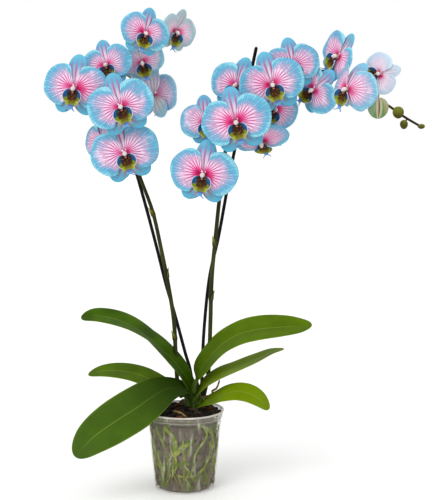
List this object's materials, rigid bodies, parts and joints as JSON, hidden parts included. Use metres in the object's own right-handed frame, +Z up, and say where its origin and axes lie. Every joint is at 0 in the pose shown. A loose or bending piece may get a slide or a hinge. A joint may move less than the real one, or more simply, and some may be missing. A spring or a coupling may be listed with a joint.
{
  "type": "potted moth orchid",
  "caption": "Moth orchid with arching staked flower spikes of blue and pink blooms, strap leaves and roots in bark, growing in a tapered clear nursery pot.",
  "frame": {"origin": "centre of the pot's flat underside, where it stands on the table", "axes": "+Z up along the pot's axis; +X to the right and +Y away, seen from the side that the blooms face"},
  "size_m": [0.571, 0.1773, 0.7352],
  "materials": {
    "pot_plastic": "thin clear nursery plastic, hazed and slightly grey",
    "bark": "rough damp bark chips, dark brown with reddish broken faces",
    "root": "smooth fleshy green roots with silvery patches, green crown",
    "leaf": "thick waxy leaf, satin, darker above than below",
    "stake": "dark plastic stake, satin",
    "stem": "smooth dark olive flower stem with pale-rimmed bracts",
    "tepal": "soft petal, sky blue rim and crimson pink veins from the heart",
    "lip": "glossy lip, blue and lime with a brown throat, white column",
    "bud": "satin bud, pale green and pinkish blue with darker seams"
  },
  "bodies": {
    "root": {"pot": "pot_plastic", "bark": "bark", "crown_and_roots": "root", "leaf_front_left": "leaf", "leaf_mid_left": "leaf", "leaf_upper_left": "leaf", "leaf_upper_right": "leaf", "leaf_mid_right": "leaf", "leaf_low_right": "leaf", "stake_left": "stake", "spike_left": "stem", "stake_right": "stake", "spike_right": "stem", "bloom_a1": "tepal", "lip_a1": "lip", "bloom_a2": "tepal", "lip_a2": "lip", "bloom_a3": "tepal", "lip_a3": "lip", "bloom_a4": "tepal", "lip_a4": "lip", "bloom_a5": "tepal", "lip_a5": "lip", "bloom_a6": "tepal", "lip_a6": "lip", "bloom_a7": "tepal", "lip_a7": "lip", "bloom_a8": "tepal", "lip_a8": "lip", "bloom_a9": "tepal", "lip_a9": "lip", "bloom_b1": "tepal", "lip_b1": "lip", "bloom_b2": "tepal", "lip_b2": "lip", "bloom_b3": "tepal", "lip_b3": "lip", "bloom_b4": "tepal", "lip_b4": "lip", "bloom_b5": "tepal", "lip_b5": "lip", "bloom_b6": "tepal", "lip_b6": "lip", "bloom_b7": "tepal", "lip_b7": "lip", "bloom_b8": "tepal", "lip_b8": "lip", "bloom_b9": "tepal", "lip_b9": "lip", "bloom_b10": "tepal", "lip_b10": "lip", "bloom_b11": "tepal", "lip_b11": "lip", "bloom_b12": "tepal", "lip_b12": "lip", "bud_large": "bud"}
  },
  "joints": []
}
